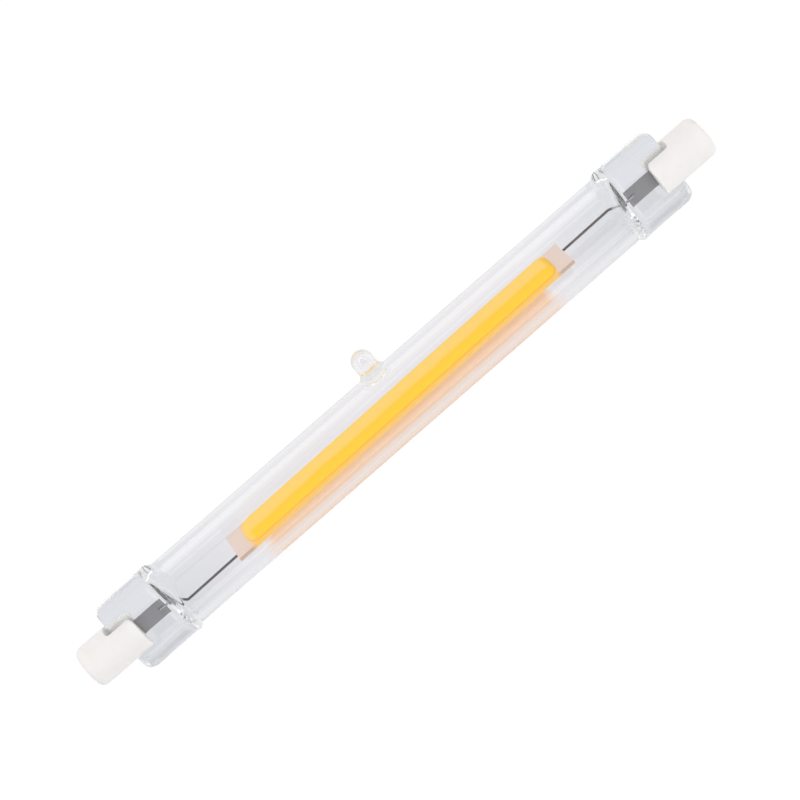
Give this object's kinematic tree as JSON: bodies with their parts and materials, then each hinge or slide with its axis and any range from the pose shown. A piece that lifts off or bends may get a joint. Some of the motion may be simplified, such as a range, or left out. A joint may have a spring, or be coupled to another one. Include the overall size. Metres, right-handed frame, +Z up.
{
  "type": "double-ended linear LED lamp",
  "caption": "Double-ended linear LED lamp: clear pressed-end glass tube round a ceramic board with a yellow phosphor bead, and a slotted ceramic cap with recessed contact at each end.",
  "frame": {"origin": "on the glass tube's axis, at the lamp's mid length", "axes": "+X along the tube towards the right cap, +Z up from the surface that the lamp lies on, and the sealed tip points to +Y and a little up"},
  "size_m": [0.118, 0.0142, 0.0114],
  "materials": {
    "clear_glass": "clear, fire-polished",
    "cap_ceramic": "white, satin",
    "cement": "matt",
    "contact_metal": "nickel-plated",
    "lead_wire": "drawn wire, dull",
    "foil_metal": "thin rolled foil",
    "pad_metal": "fired thick film",
    "solder": "tin solder",
    "board_ceramic": "pale pink, fine matt",
    "die": "polished chip",
    "phosphor_silicone": "soft yellow silicone"
  },
  "bodies": {
    "root": {"bridge_rectifier": "die", "cap_cement_left": "cement", "cap_cement_right": "cement", "ceramic_board": "board_ceramic", "ceramic_cap_left": "cap_ceramic", "ceramic_cap_right": "cap_ceramic", "contact_button_left": "contact_metal", "contact_button_right": "contact_metal", "current_regulators": "die", "glass_envelope": "clear_glass", "inner_lead_left": "lead_wire", "inner_lead_right": "lead_wire", "led_dies": "die", "outer_lead_left": "lead_wire", "outer_lead_right": "lead_wire", "phosphor_strip": "phosphor_silicone", "seal_foil_left": "foil_metal", "seal_foil_right": "foil_metal", "solder_joint_left": "solder", "solder_joint_right": "solder", "terminal_pad_left": "pad_metal", "terminal_pad_right": "pad_metal"}
  },
  "joints": []
}
